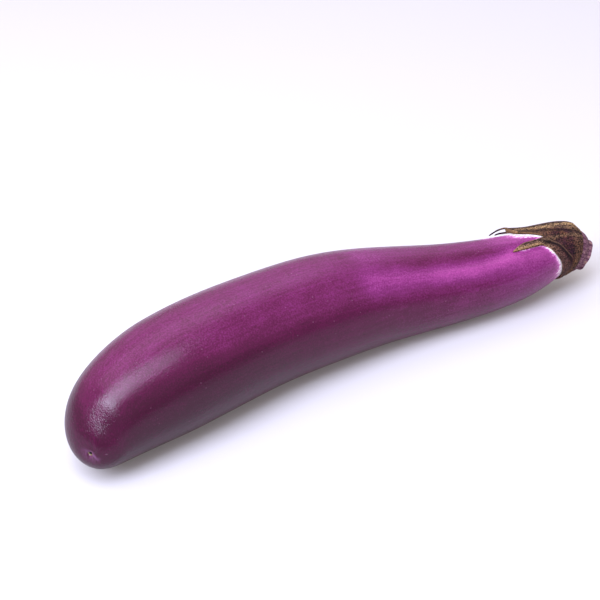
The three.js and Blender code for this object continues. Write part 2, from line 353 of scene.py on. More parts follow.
# The scar's own directions, and a pinched fold over the pin-hole as places across and up from it.
SCAR_ACROSS, SCAR_UP = Vector((0.803, -0.596, 0)), Vector((0.342, 0.461, 0.819))
SCAR_FOLD = [(-4.4, 2.8), (-2.5, 1.8), (-0.95, 0.85), (0.6, 0.4), (1.9, -0.9), (3.1, -2.4)]
# Relief of the scar: the pin-hole, the saucer round it, and the pinched fold.
HOLE_DEPTH, HOLE_WIDTH = 1.2, 0.95
SAUCER_DEPTH, SAUCER_WIDTH = 0.65, 5.5
PINCH_HEIGHT, PINCH_WIDTH, PINCH_REACH = 0.25, 1.0, 3.6
# Share past which the skin is out of the scar's reach, and share where the calyx comes near it.
SCAR_END, MARGIN_START = 0.1, 0.6
# Stands for a gap too wide to matter, in millimetres.
FAR = 99.0
# Patterns keep this radius at the ends, where they would shrink to a point.
PATTERN_RADIUS = 6.0


def scar_place(point):
    """Across and up from the pin-hole, and how far above the fold, in millimetres."""
    away = point - SCAR_CENTRE
    across, up = away.dot(SCAR_ACROSS), away.dot(SCAR_UP)
    return Vector((across, up, 0.8 * (up - along(SCAR_FOLD, across))))


def scar_depth(point):
    """A pin-hole in a shallow saucer, under a fold."""
    distance = (point - SCAR_CENTRE).length
    fold = bell(scar_place(point).z, PINCH_WIDTH) * bell(distance, PINCH_REACH)
    hollow = HOLE_DEPTH * bell(distance, HOLE_WIDTH) + SAUCER_DEPTH * bell(distance, SAUCER_WIDTH)
    return hollow - PINCH_HEIGHT * fold


# How pale the skin is, 0 dark plum to 1 pale magenta, in rows of share and tone. The flank and rib
# tables hold painted shade and a painted highlight as well as the skin's own colour.
CROWN_TONE = [
    (0, 0.06), (0.03, 0.14), (0.06, 0.26), (0.1, 0.33), (0.15, 0.4), (0.3, 0.45), (0.45, 0.48),
    (0.475, 0.49), (0.5, 0.6), (0.55, 0.56), (0.6, 0.48), (0.66, 0.47), (0.7, 0.54), (0.73, 0.67),
    (0.75, 0.75), (0.78, 0.82), (0.85, 0.85),
]
# The flanks are a darker plum of their own, and painted shade darkens them further.
FLANK_TONE_AND_SHADE = [
    (0, 0.0), (0.15, 0.0), (0.2, 0.02), (0.3, 0.1), (0.4, 0.18), (0.5, 0.25), (0.6, 0.32), (0.65, 0.38),
    (0.7, 0.42), (0.74, 0.53), (0.8, 0.66), (0.84, 0.72),
]
# The rib down the neck is paler of its own, and carries a painted highlight where it catches the light from
# above.
RIB_TONE_AND_HIGHLIGHT = [
    (0.465, 0.46), (0.5, 0.63), (0.55, 0.68), (0.6, 0.69), (0.65, 0.8), (0.7, 0.78), (0.735, 0.84),
    (0.75, 0.82), (0.77, 0.7), (0.85, 0.7),
]
# Painted shade in the groove beside the rib: how much darker it is, in rows of share and tone.
GROOVE_PAINTED_SHADE = [(0.5, 0.06), (0.55, 0.12), (0.66, 0.1), (0.71, 0.22), (0.74, 0.24), (0.78, 0.16)]
# Angle where the crown turns into the flank, and the angle of the rib, by share.
FLANK_BORDER = [
    (0.03, 20), (0.06, 34), (0.1, 44), (0.15, 47), (0.2, 50), (0.3, 60), (0.45, 58), (0.6, 61), (0.8, 58),
]
RIB_ANGLE = [(0.48, 35), (0.6, 41), (0.7, 42), (0.75, 33), (0.85, 31)]
RIB_WIDTH = 15
GROOVE_ANGLE, GROOVE_WIDTH = 17, 9
# Share where the rib's painted highlight and the groove's painted shade begin to show in the colour.
RIB_START, RIB_FULL = 0.465, 0.5
GROOVE_START, GROOVE_FULL = 0.48, 0.52


def skin_tone_and_painted_light(share, angle):
    """The crown is paler than the flanks, which are darker partly in their own colour and partly by painted
    shade. One rib down the neck is the palest, partly by a painted highlight, with painted shade in the
    groove beside it.
    """
    off_crown = abs(turn(angle, 0))
    border = along(FLANK_BORDER, share)
    flank = smooth(border - 14, border + 14, off_crown)
    # Painted shade: the crown darkens towards the flanks.
    crown = along(CROWN_TONE, share) - 0.07 * smooth(8, 34, off_crown)
    tone = crown * (1 - flank) + along(FLANK_TONE_AND_SHADE, share) * flank
    # Painted shade in the groove beside the rib.
    in_groove_shade = bell(turn(angle, GROOVE_ANGLE), GROOVE_WIDTH) * smooth(GROOVE_START, GROOVE_FULL, share)
    tone -= along(GROOVE_PAINTED_SHADE, share) * in_groove_shade
    # Painted highlight on the rib, on top of its own paler colour.
    on_lit_rib = bell(turn(angle, along(RIB_ANGLE, share)), RIB_WIDTH) * smooth(RIB_START, RIB_FULL, share)
    return tone + (max(tone, along(RIB_TONE_AND_HIGHLIGHT, share)) - tone) * on_lit_rib


PALE_SPOTS = [body_point(s, a, fruit_radius(s, a)) for s, a in PALE_LINE]


def margin_width(edge_angle, edge_share):
    """The pale margin is full in the calyx's hollows, wider low in front and beside the top lobe, and
    thin round the tips of the lobes."""
    hollow = 0.06 + 0.94 * smooth(0.79, 0.824, edge_share) + 1.6 * bell(turn(edge_angle, 106), 20)
    beside_top = turn(edge_angle, 350)
    top = 2.6 * smooth(-30, -14, beside_top) * (1 - smooth(10, 26, beside_top))
    below_front = smooth(22.5, 25, edge_angle) * (1 - smooth(28, 40, edge_angle))
    below_front *= 0.45 * smooth(0.754, 0.766, edge_share)
    return max(hollow, top, below_front)


def gap_to_calyx(point, share, angle):
    """Distance from the calyx's edge, in widths of the margin, and less beside the pale line."""
    if share < MARGIN_START:
        return FAR
    number, distance = edge_tree.find(point)[1:]
    width = margin_width(*EDGE[number])
    gap = 9 * (1 - width) - distance if under_calyx(share, angle) else distance / width
    to_line = min((point - spot).length for spot in PALE_SPOTS)
    return min(gap, 0.8 + 0.8 * to_line)


def make_fruit(material):
    """The fruit, with the measures that its skin's patterns need at every point."""
    bm = bmesh.new()
    bmesh.ops.create_uvsphere(bm, u_segments=FRUIT_SIDES, v_segments=FRUIT_RINGS, radius=1)
    layers = bm.verts.layers
    straight = layers.float_vector.new("straight")
    tone = layers.float.new("tone")
    calyx_gap = layers.float.new("calyx_gap")
    scar_gap = layers.float.new("scar_gap")
    scar = layers.float_vector.new("scar")
    for vert in bm.verts:
        x, y, z = vert.co
        ring = round(math.acos(max(-1.0, min(1.0, -z))) / math.pi * FRUIT_RINGS)
        share = fruit_ring_share(ring)
        angle = math.degrees(math.atan2(y, x))
        radius = fruit_radius(share, angle)
        point = body_point(share, angle, radius)
        vert[straight] = straightened(share, angle, max(radius, PATTERN_RADIUS))
        vert[tone] = skin_tone_and_painted_light(share, angle)
        vert[calyx_gap] = gap_to_calyx(point, share, angle)
        vert[scar_gap] = (point - SCAR_CENTRE).length
        vert[scar] = Vector((FAR, FAR, FAR))
        if share < SCAR_END:
            vert[scar] = scar_place(point)
            point += axes(0)[0] * scar_depth(point)
        point.z = max(point.z, FLAT_DEPTH)
        vert.co = on_table(point)
    add_piece("fruit_skin", bm, material, "fruit", "fruit")


CALYX_COLUMNS = len(EDGE)
OUTER_ROWS, INNER_ROWS = 48, 12
CALYX_PROFILE = OUTER_ROWS + INNER_ROWS + 2
# How far the columns, which are close together at the lobes' tips, spread evenly towards the stem.
ROW_SPREAD = 0.55
# Share where the crease below the top midrib begins, and where lobes end and the mouth's colour begins.
UNDER_RIB_START, MOUTH_START = 0.78, 0.87
# The top lobe's tip: its lift, angle and width, and the shares where it is fully up and fully down.
TIP_LIFT, TIP_ANGLE, TIP_WIDTH, TIP_UP, TIP_DOWN = 1.8, 318, 20, 0.765, 0.82


def tip_curl(share, angle):
    """The top lobe's tip lifts off the fruit."""
    return TIP_LIFT * (1 - smooth(TIP_UP, TIP_DOWN, share)) * bell(turn(angle, TIP_ANGLE), TIP_WIDTH)


def fold_past(share, angle):
    """Degrees past the fold line, which sweeps from beside the long lobe to the stem."""
    return turn(angle, along(FOLD_LINE, share))


def under_rib(share, angle):
    """Degrees past the line below the top lobe's midrib."""
    return turn(angle, along(UNDER_RIB, share))


def rib_height(share, angle):
    """Height of the midribs, which lean from the lobes' tips to the stem."""
    to_stem = clamp01((share - CALYX_TIPS) / (CALYX_MOUTH - CALYX_TIPS))
    return sum(
        height * bell(turn(angle, tip + (root - tip) * to_stem), width)
        for tip, root, height, width in CALYX_RIBS
    )


def calyx_outer(share, angle, row):
    """Radius of the calyx's outside. It gets thin towards the edge, at row 0."""
    fade = 1 - smooth(0.91, CALYX_MOUTH, share)
    past = fold_past(share, angle)
    fold = smooth(-1, 3, past) * (1 - smooth(0, 70, past)) * smooth(0.795, 0.83, share)
    groove = 0.3 * bell(under_rib(share, angle) - 2, 3.5) * smooth(0.8, 0.83, share)
    relief = (rib_height(share, angle) - FOLD_STEP * fold - groove) * fade + tip_curl(share, angle)
    thin = (CALYX_HEIGHT - CALYX_EDGE_HEIGHT) * (1 - row) ** 3
    fluted = flutes(share, angle) * (1 - smooth(SHOULDER_START, SHOULDER_END, share))
    return cover_radius(share) + fluted + relief - thin


def calyx_inner(share, angle):
    """Radius of its inside, clear of the fruit and of the stem."""
    over_fruit = fruit_radius(share, angle) + CALYX_STANDOFF + 0.4 * tip_curl(share, angle)
    return max(over_fruit, stem_radius(share) + STEM_GAP)


def calyx_place(column, row):
    """Share and angle of a column round the edge, at row 0 (the edge) to 1 (the stem)."""
    edge_angle, edge_share = EDGE[column % CALYX_COLUMNS]
    if row <= 0.5:
        share = edge_share + (CALYX_COLLAR - edge_share) * row * 2
    else:
        share = CALYX_COLLAR + (CALYX_MOUTH - CALYX_COLLAR) * (row * 2 - 1)
    even = EDGE[0][0] + 360 * column / CALYX_COLUMNS
    return share, edge_angle + turn(even, edge_angle) * ROW_SPREAD * row ** 2


def make_calyx(material):
    """The cap: a sheet closed on itself, out from the edge to the stem and back along the inside."""
    bm = bmesh.new()
    bmesh.ops.create_grid(bm, x_segments=CALYX_COLUMNS, y_segments=CALYX_PROFILE, size=0.5)
    layers = bm.verts.layers
    straight = layers.float_vector.new("straight")
    edge_gap, rib, fold, rib_side, rib_top, lobe, mouth = (
        layers.float.new(name) for name in ("edge_gap", "rib", "fold", "rib_side", "rib_top", "lobe", "mouth")
    )
    for vert in bm.verts:
        column = round((vert.co.x + 0.5) * CALYX_COLUMNS)
        step = round((vert.co.y + 0.5) * CALYX_PROFILE) % CALYX_PROFILE
        outside = step <= OUTER_ROWS
        row = step / OUTER_ROWS if outside else (CALYX_PROFILE - 1 - step) / INNER_ROWS
        share, angle = calyx_place(column, row)
        radius = calyx_outer(share, angle, row) if outside else calyx_inner(share, angle)
        vert.co = on_table(body_point(share, angle, radius))
        flat_point = body_point(share, angle, fruit_radius(min(share, SHOULDER_START), angle))
        vert[straight] = straightened(share, angle, radius)
        vert[edge_gap] = edge_tree.find(flat_point)[2]
        vert[rib] = rib_height(share, angle)
        vert[fold] = fold_past(share, angle)
        vert[rib_side] = under_rib(share, angle) if share > UNDER_RIB_START else -FAR
        vert[rib_top] = turn(angle, along(RIB_TOP, share))
        vert[lobe] = 1 - smooth(0.8, MOUTH_START, share)
        vert[mouth] = smooth(MOUTH_START, CALYX_MOUTH, share)
    bmesh.ops.remove_doubles(bm, verts=bm.verts, dist=1e-7)
    add_piece("calyx_cap", bm, material, "calyx", "calyx")


THREAD_SIDES, THREAD_RINGS = 12, 60


def make_thread(name, material):
    """A thread along a smooth curve through its route's points, drawn out to a thin tip."""
    route = THREADS[name]
    points = [body_point(s, a, fruit_radius(s, a) + h) for s, a, h in route]
    doubled = [points[0] * 2 - points[1]] + points + [points[-1] * 2 - points[-2]]
    bm = bmesh.new()
    bmesh.ops.create_uvsphere(bm, u_segments=THREAD_SIDES, v_segments=THREAD_RINGS, radius=1)

    def curve(place):
        scaled = clamp01(place) * (len(points) - 1)
        index = min(int(scaled), len(points) - 2)
        u = scaled - index
        before, start, end, after = doubled[index:index + 4]
        return (start * 2 + (end - before) * u + (before * 2 - start * 5 + end * 4 - after) * u ** 2
                + (start * 3 - before - end * 3 + after) * u ** 3) / 2

    straight = bm.verts.layers.float_vector.new("straight")
    dryness = bm.verts.layers.float.new("dryness")
    for vert in bm.verts:
        x, y, z = vert.co
        place = math.acos(max(-1.0, min(1.0, z))) / math.pi
        ahead = (curve(min(1, place + 0.01)) - curve(max(0, place - 0.01))).normalized()
        side = ahead.cross(Vector((0, 0, 1))).normalized()
        up = side.cross(ahead)
        thick, thin = THREAD_RADII[name]
        width = (thick + (thin - thick) * place) * min(1, math.hypot(x, y) * 4)
        spin = math.atan2(y, x)
        vert.co = on_table(curve(place) + side * width * math.cos(spin) + up * width * math.sin(spin))
        vert[straight] = vert.co
        vert[dryness] = place
    add_piece(name, bm, material, "calyx")


STEM_SIDES = 120
CUT_RINGS, SIDE_RINGS, BASE_RINGS = 24, 40, 8
STEM_RINGS = CUT_RINGS + SIDE_RINGS + BASE_RINGS
# Ridges of the bark, with the shares where they start and are full, and the torn rim and dish of the cut.
RIDGE_HEIGHT, RIDGE_START, RIDGE_FULL = 0.22, 0.955, 0.975
TORN_HEIGHT, DISH_DEPTH = 0.3, 0.5


def make_stem(material):
    """The stub: a dished cut, a ridged side and a base inside the calyx, in rings from the cut."""
    bm = bmesh.new()
    bmesh.ops.create_uvsphere(bm, u_segments=STEM_SIDES, v_segments=STEM_RINGS, radius=1)
    layers = bm.verts.layers
    straight = layers.float_vector.new("straight")
    cut = layers.float.new("cut")
    for vert in bm.verts:
        x, y, z = vert.co
        ring = round(math.acos(max(-1.0, min(1.0, z))) / math.pi * STEM_RINGS)
        angle = math.degrees(math.atan2(y, x))
        reach = clamp01((CUT_RINGS + SIDE_RINGS - ring) / SIDE_RINGS)
        from_axis = min(1.0, ring / CUT_RINGS, (STEM_RINGS - ring) / BASE_RINGS)
        share = STEM_BASE + (1 - STEM_BASE) * reach
        ridges = math.cos(math.radians(5 * angle)) + 0.7 * math.cos(math.radians(8 * angle + 50))
        radius = stem_radius(share) + RIDGE_HEIGHT * ridges * smooth(RIDGE_START, RIDGE_FULL, share)
        torn = math.sin(math.radians(3 * angle + 40)) + 0.6 * math.sin(math.radians(7 * angle))
        dish = DISH_DEPTH * (1 - from_axis ** 3) if reach == 1 else 0
        point = body_point(share, angle, from_axis * radius)
        point += axes(share)[0] * (TORN_HEIGHT * torn * from_axis ** 4 - dish) * reach ** 4
        vert.co = on_table(point)
        vert[straight] = straightened(share, angle, from_axis * radius)
        vert[cut] = 1.0 if reach == 1 and from_axis < 0.97 else 0.0
    add_piece("stem_stub", bm, material, "stem", "stem")


# ---------------------------------------------------------------- materials

def linear(hex_colour):
    """A colour written as sRGB hex, as the linear values that the shader takes."""
    parts = [int(hex_colour[i:i + 2], 16) / 255 for i in (1, 3, 5)]
    return tuple(p / 12.92 if p <= 0.04045 else ((p + 0.055) / 1.055) ** 2.4 for p in parts) + (1.0,)


def spaced(*sizes):
    """Pattern scale for features of a size in millimetres, or one scale for each direction."""
    scales = tuple(1 / (size * MM) for size in sizes)
    return scales[0] if len(scales) == 1 else scales


def add(tree, kind, inputs=None, stops=None, **settings):
    """Adds a node. An input that is a socket is linked, one that is a node is linked from its
    first output, and any other is set."""
    node = tree.nodes.new("ShaderNode" + kind)
    for key, value in settings.items():
        setattr(node, key, value)
    for key, value in (inputs or {}).items():
        source = value.outputs[0] if isinstance(value, bpy.types.Node) else value
        if isinstance(source, bpy.types.NodeSocket):
            tree.links.new(source, node.inputs[key])
        else:
            node.inputs[key].default_value = source
    if stops:
        ramp = node.color_ramp
        for place, _ in stops[1:-1]:
            ramp.elements.new(place)
        for element, (place, colour) in zip(ramp.elements, stops):
            element.position = place
            element.color = linear(colour)
    return node


def new_material(name):
    material = bpy.data.materials.new(name)
    material.use_nodes = True
    tree = material.node_tree
    tree.nodes.clear()
    return material, tree


def plum_colour(tree, tone, streaks, clouds, grain):
    """The tone of the skin, stirred by the three patterns, as plum to magenta."""
    total = tone
    for pattern, weight in ((streaks, 0.24), (clouds, 0.2), (grain, 0.52)):
        total = add(tree, "Math", {0: pattern, 1: weight, 2: total}, operation="MULTIPLY_ADD")
    # The patterns average 0.5, so half of their weights comes off again.
    total = add(tree, "Math", {0: total, 1: 0.48}, operation="SUBTRACT")
    # The palest stops are greyer and bluer, which partly paints the sheen along the crown.
    return add(tree, "ValToRGB", {"Fac": total}, stops=[
        (0.0, "#340722"), (0.3, "#4b0a34"), (0.42, "#5a1544"),
        (0.6, "#6c1f5b"), (0.9, "#953c80"), (1.0, "#aa4d92"),
    ])


def with_pores(tree, colour, straight, scar_gap):
    """Pale pores, a few of which have closed as dark pits near the blossom end."""
    # One in every 2.6 mm or so, drawn 0.5 mm wide, about twice the real width. The palest third show.
    pores = add(tree, "TexVoronoi", {"Vector": straight, "Scale": spaced(2.63)})
    pore = add(tree, "MapRange", {
        "Value": pores.outputs["Distance"], "From Min": 0.06, "From Max": 0.13, "To Min": 1.0, "To Max": 0.0,
    })
    pick = add(tree, "SeparateColor", {"Color": pores.outputs["Color"]}).outputs["Red"]
    pale = add(tree, "MapRange", {"Value": pick, "From Min": 0.62, "From Max": 0.95, "To Max": 0.13})
    pale = add(tree, "Math", {0: pore, 1: pale}, operation="MULTIPLY")
    colour = add(tree, "MixRGB", {"Fac": pale, "Color1": colour, "Color2": linear("#c79bb8")})
    closed = add(tree, "MapRange", {"Value": pick, "From Min": 0.22, "From Max": 0.16, "To Max": 0.75})
    near_end = add(tree, "MapRange", {"Value": scar_gap, "From Min": 30.0, "From Max": 18.0})
    pit = add(tree, "Math", {0: pore, 1: closed}, operation="MULTIPLY")
    pit = add(tree, "Math", {0: pit, 1: near_end}, operation="MULTIPLY")
    return add(tree, "MixRGB", {"Fac": pit, "Color1": colour, "Color2": linear("#2a0a20")})


def with_margin(tree, colour, straight, calyx_gap):
    """White skin that comes out from under the calyx and turns pink, then magenta, within 4 mm."""
    # Speckles of 0.9 mm and dashes of 1.1 by 5 mm fray the margin.
    speckle = add(tree, "TexNoise", {"Vector": straight, "Scale": spaced(0.909), "Detail": 2.0})
    dashes = add(tree, "Mapping", {"Vector": straight, "Scale": spaced(1.11, 1.11, 5)})
    dashes = add(tree, "TexNoise", {"Vector": dashes, "Scale": 1.0, "Detail": 2.0})
    ragged = add(tree, "Math", {0: speckle, 1: 3.0, 2: calyx_gap}, operation="MULTIPLY_ADD")
    ragged = add(tree, "Math", {0: dashes, 1: 2.6, 2: ragged}, operation="MULTIPLY_ADD")
    margin = add(tree, "MapRange", {"Value": ragged, "From Min": 2.9, "From Max": 7.1})
    margin_colour = add(tree, "ValToRGB", {"Fac": margin}, stops=[
        (0.0, "#f2edea"), (0.06, "#e6d3dd"), (0.17, "#cf98bf"), (0.4, "#ac549b"), (1.0, "#93357d"),
    ])
    cover = add(tree, "ValToRGB", {"Fac": margin}, stops=[
        (0.0, "#ffffff"), (0.25, "#ffffff"), (0.5, "#b0b0b0"), (1.0, "#000000"),
    ])
    return add(tree, "MixRGB", {"Fac": cover, "Color1": colour, "Color2": margin_colour})


def with_scar(tree, colour, scar, scar_gap):
    """The blossom scar: a corky pin-hole under a pale pinched fold, with the skin below drawn in streaks."""
    spot = add(tree, "SeparateXYZ", {"Vector": scar}).outputs
    # Streaks 0.8 mm wide and 2.9 mm long, as the scar's own places are in millimetres.
    rays = add(tree, "Mapping", {"Vector": scar, "Scale": (1 / 0.77, 1 / 2.86, 0)})
    rays = add(tree, "TexNoise", {"Vector": rays, "Scale": 1.0, "Detail": 3.0})
    rays = add(tree, "MapRange", {"Value": rays, "From Min": 0.38, "From Max": 0.66})
    below = add(tree, "MapRange", {"Value": spot["Z"], "From Min": -0.2, "From Max": -1.2})
    near = add(tree, "MapRange", {
        "Value": scar_gap, "From Min": 2.0, "From Max": 6.0, "To Min": 0.34, "To Max": 0.0,
    })
    drawn = add(tree, "Math", {0: below, 1: near}, operation="MULTIPLY")
    drawn = add(tree, "Math", {0: drawn, 1: rays}, operation="MULTIPLY")
    colour = add(tree, "MixRGB", {"Fac": drawn, "Color1": colour, "Color2": linear("#8a4c7c")})

    off_fold = add(tree, "Math", {0: spot["Z"]}, operation="ABSOLUTE")
    fold = add(tree, "MapRange", {
        "Value": off_fold, "From Max": 1.1, "To Min": 1.0, "To Max": 0.0,
    }, interpolation_type="SMOOTHSTEP")
    fold_end = add(tree, "MapRange", {
        "Value": scar_gap, "From Min": 2.6, "From Max": 5.6, "To Min": 1.0, "To Max": 0.0,
    })
    paler = add(tree, "MapRange", {
        "Value": spot["X"], "From Min": -2.5, "From Max": 1.5, "To Min": 0.08, "To Max": 0.32,
    })
    fold = add(tree, "Math", {0: fold, 1: fold_end}, operation="MULTIPLY")
    fold = add(tree, "Math", {0: fold, 1: paler}, operation="MULTIPLY")
    colour = add(tree, "MixRGB", {"Fac": fold, "Color1": colour, "Color2": linear("#9c6596")})

    cork = add(tree, "MapRange", {
        "Value": scar_gap, "From Min": 0.8, "From Max": 1.25, "To Min": 0.9, "To Max": 0.0,
    })
    cork_side = add(tree, "MapRange", {"Value": spot["Z"], "From Min": 0.1, "From Max": -0.5})
    cork = add(tree, "Math", {0: cork, 1: cork_side}, operation="MULTIPLY")
    colour = add(tree, "MixRGB", {"Fac": cork, "Color1": colour, "Color2": linear("#6a5c32")})
    hole = add(tree, "MapRange", {
        "Value": scar_gap, "From Min": 0.5, "From Max": 0.85, "To Min": 1.0, "To Max": 0.0,
    })
    return add(tree, "MixRGB", {"Fac": hole, "Color1": colour, "Color2": linear("#0d0606")})


def eggplant_skin():
    """Thin purple cuticle under its own wax: satin, with a soft shine that the cells beneath break up."""
    material, tree = new_material("eggplant_skin_waxed_cuticle")
    straight = add(tree, "Attribute", attribute_name="straight").outputs["Vector"]
    scar = add(tree, "Attribute", attribute_name="scar").outputs["Vector"]
    tone, calyx_gap, scar_gap = (
        add(tree, "Attribute", attribute_name=name).outputs["Fac"]
        for name in ("tone", "calyx_gap", "scar_gap")
    )
    # Streaks 1.3 mm across and 28 mm long, clouds of 11 mm, and grain of 0.7 mm, which stands for
    # cells of 0.05 mm, too fine to show.
    lengthwise = add(tree, "Mapping", {"Vector": straight, "Scale": spaced(1.3, 1.3, 27.8)})
    streaks = add(tree, "TexNoise", {"Vector": lengthwise, "Scale": 1.0, "Detail": 3.0})
    clouds = add(tree, "TexNoise", {"Vector": straight, "Scale": spaced(11.1), "Detail": 4.0})
    grain = add(tree, "TexNoise", {"Vector": straight, "Scale": spaced(0.714), "Detail": 2.0})
    colour = plum_colour(tree, tone, streaks, clouds, grain)
    colour = with_pores(tree, colour, straight, scar_gap)
    colour = with_margin(tree, colour, straight, calyx_gap)
    colour = with_scar(tree, colour, scar, scar_gap)

    # Cell relief 0.6 mm wide, drawn coarser than real, breaks up the shine.
    cells = add(tree, "TexNoise", {"Vector": straight, "Scale": spaced(0.588), "Detail": 1.0})
    relief = add(tree, "Math", {0: streaks, 1: 0.6, 2: cells}, operation="MULTIPLY_ADD")
    bump = add(tree, "Bump", {"Height": relief, "Distance": 0.1 * MM, "Strength": 1.0})
    roughness = add(tree, "MapRange", {
        "Value": clouds, "From Min": 0.3, "From Max": 0.7, "To Min": 0.13, "To Max": 0.18,
    })
    # The cells' relief shades itself at a glancing view, so the shine fades towards the outline.
    facing = add(tree, "LayerWeight", {"Blend": 0.5}).outputs["Facing"]
    shine = add(tree, "MapRange", {
        "Value": facing, "From Min": 0.5, "From Max": 0.9, "To Min": 0.5, "To Max": 0.02,
    })
    shader = add(tree, "BsdfPrincipled", {
        "Base Color": colour, "Roughness": roughness, "IOR": 1.36,
        "Specular IOR Level": shine, "Normal": bump,
    })
    add(tree, "OutputMaterial", {"Surface": shader})
    return material


def dry_surface(tree, colour, relief, depth, strength=0.9, roughness=0.85):
    """Dried plant tissue: dull, as its dead and broken cells scatter the light, with hardly any shine."""
    bump = add(tree, "Bump", {"Height": relief, "Distance": depth * MM, "Strength": strength})
    shader = add(tree, "BsdfPrincipled", {
        "Base Color": colour, "Roughness": roughness, "IOR": 1.4, "Specular IOR Level": 0.25, "Normal": bump,
    })
    add(tree, "OutputMaterial", {"Surface": shader})


def mottled_leaf(tree, straight, at):
    """Plum brown in patches of 4 by 7 mm, browner on the lobes, past the fold and round the mouth."""
    patches = add(tree, "Mapping", {"Vector": straight, "Scale": spaced(4, 4, 6.67)})
    mottling = add(tree, "TexNoise", {"Vector": patches, "Scale": 1.0, "Detail": 4.0, "Roughness": 0.6})
    colour = add(tree, "ValToRGB", {"Fac": mottling}, stops=[
        (0.35, "#1b0815"), (0.48, "#230c15"), (0.6, "#321917"), (0.72, "#4c331d"),
    ])
    leafy = add(tree, "Math", {0: at["lobe"], 1: 0.55}, operation="MULTIPLY")
    below_fold = add(tree, "MapRange", {
        "Value": at["fold"], "From Min": 6.0, "From Max": 22.0, "To Min": 0.0, "To Max": 0.3,
    })
    golden = add(tree, "MapRange", {"Value": at["mouth"], "From Min": 0.25, "From Max": 0.55, "To Max": 0.4})
    for where, brown in ((leafy, "#5b422c"), (below_fold, "#66483e"), (golden, "#503a26")):
        colour = add(tree, "MixRGB", {"Fac": where, "Color1": colour, "Color2": linear(brown)})
    return colour


def with_worn_ribs(tree, colour, fibres, at):
    """Tan where the ribs are worn, below a dark border on the top one."""
    raised = add(tree, "MapRange", {"Value": at["rib"], "From Min": 0.15, "From Max": 0.8})
    band = add(tree, "MapRange", {"Value": at["rib_top"], "From Min": -2.0, "From Max": 2.0})
    band_end = add(tree, "MapRange", {"Value": at["rib_side"], "From Min": -2.0, "From Max": -7.0})
    band = add(tree, "Math", {0: band, 1: band_end}, operation="MULTIPLY")
    to_stem = add(tree, "MapRange", {
        "Value": at["lobe"], "From Min": 0.3, "From Max": 0.0, "To Min": 1.0, "To Max": 0.35,
    })
    band = add(tree, "Math", {0: band, 1: to_stem}, operation="MULTIPLY")
    raised = add(tree, "Math", {0: raised, 1: band}, operation="MAXIMUM")
    broken = add(tree, "MapRange", {
        "Value": fibres, "From Min": 0.35, "From Max": 0.58, "To Min": 0.25, "To Max": 1.0,
    })
    worn = add(tree, "Math", {0: raised, 1: broken}, operation="MULTIPLY")
    colour = add(tree, "MixRGB", {"Fac": worn, "Color1": colour, "Color2": linear("#7b6345")})
    border = add(tree, "MapRange", {"Value": at["rib_top"], "From Min": -14.0, "From Max": 1.0})
    border = add(tree, "ValToRGB", {"Fac": border}, stops=[
        (0.0, "#000000"), (0.3, "#e8e8e8"), (0.8, "#e8e8e8"), (1.0, "#000000"),
    ])
    return add(tree, "MixRGB", {"Fac": border, "Color1": colour, "Color2": linear("#24141a")})


def with_front_lobe(tree, colour, straight, at):
    """The front lobe is tan, with dark nicks across its upper side."""
    on_lobe = add(tree, "MapRange", {"Value": at["lobe"], "From Min": 0.6, "From Max": 0.95})
    tan_side = add(tree, "MapRange", {"Value": at["fold"], "From Min": -3.0, "From Max": 2.0})
    tan_side = add(tree, "Math", {0: tan_side, 1: on_lobe}, operation="MULTIPLY")
    tan_side = add(tree, "Math", {0: tan_side, 1: 0.75}, operation="MULTIPLY")
    colour = add(tree, "MixRGB", {"Fac": tan_side, "Color1": colour, "Color2": linear("#80654c")})
    # Nicks 1.1 mm wide, which run 2.9 mm across the lobe.
    nicks = add(tree, "Mapping", {"Vector": straight, "Scale": spaced(2.86, 2.86, 1.11)})
    nicks = add(tree, "TexNoise", {"Vector": nicks, "Scale": 1.0, "Detail": 2.0})
    nicks = add(tree, "MapRange", {"Value": nicks, "From Min": 0.3, "From Max": 0.46})
    upper_side = add(tree, "MapRange", {"Value": at["fold"], "From Min": -11.0, "From Max": 3.5})
    upper_side = add(tree, "ValToRGB", {"Fac": upper_side}, stops=[
        (0.0, "#000000"), (0.2, "#ffffff"), (0.75, "#ffffff"), (1.0, "#000000"),
    ])
    nicked = add(tree, "Math", {0: upper_side, 1: on_lobe}, operation="MULTIPLY")
    nicked = add(tree, "Math", {0: nicked, 1: nicks}, operation="MULTIPLY")
    return add(tree, "MixRGB", {"Fac": nicked, "Color1": colour, "Color2": linear("#2c1a1b")})


def with_rim_and_shadow_line(tree, colour, at):
    """A tan edge 0.4 mm wide on the lobes, and a painted shadow line 0.9 mm in, where the edge shades the
    leaf.
    """
    rim = add(tree, "MapRange", {
        "Value": at["edge_gap"], "From Min": 0.25, "From Max": 0.6, "To Min": 0.5, "To Max": 0.0,
    })
    rim_end = add(tree, "MapRange", {"Value": at["lobe"], "From Min": 0.5, "From Max": 0.9, "To Min": 0.15})
    rim = add(tree, "Math", {0: rim, 1: rim_end}, operation="MULTIPLY")
    colour = add(tree, "MixRGB", {"Fac": rim, "Color1": colour, "Color2": linear("#7d5f3c")})
    # Painted shadow: a dark line just inside the edge.
    inside = add(tree, "MapRange", {"Value": at["edge_gap"], "From Min": 0.2, "From Max": 1.6})
    inside = add(tree, "ValToRGB", {"Fac": inside}, stops=[
        (0.0, "#000000"), (0.4, "#b0b0b0"), (0.6, "#b0b0b0"), (1.0, "#000000"),
    ])
    return add(tree, "MixRGB", {"Fac": inside, "Color1": colour, "Color2": linear("#26151a")})


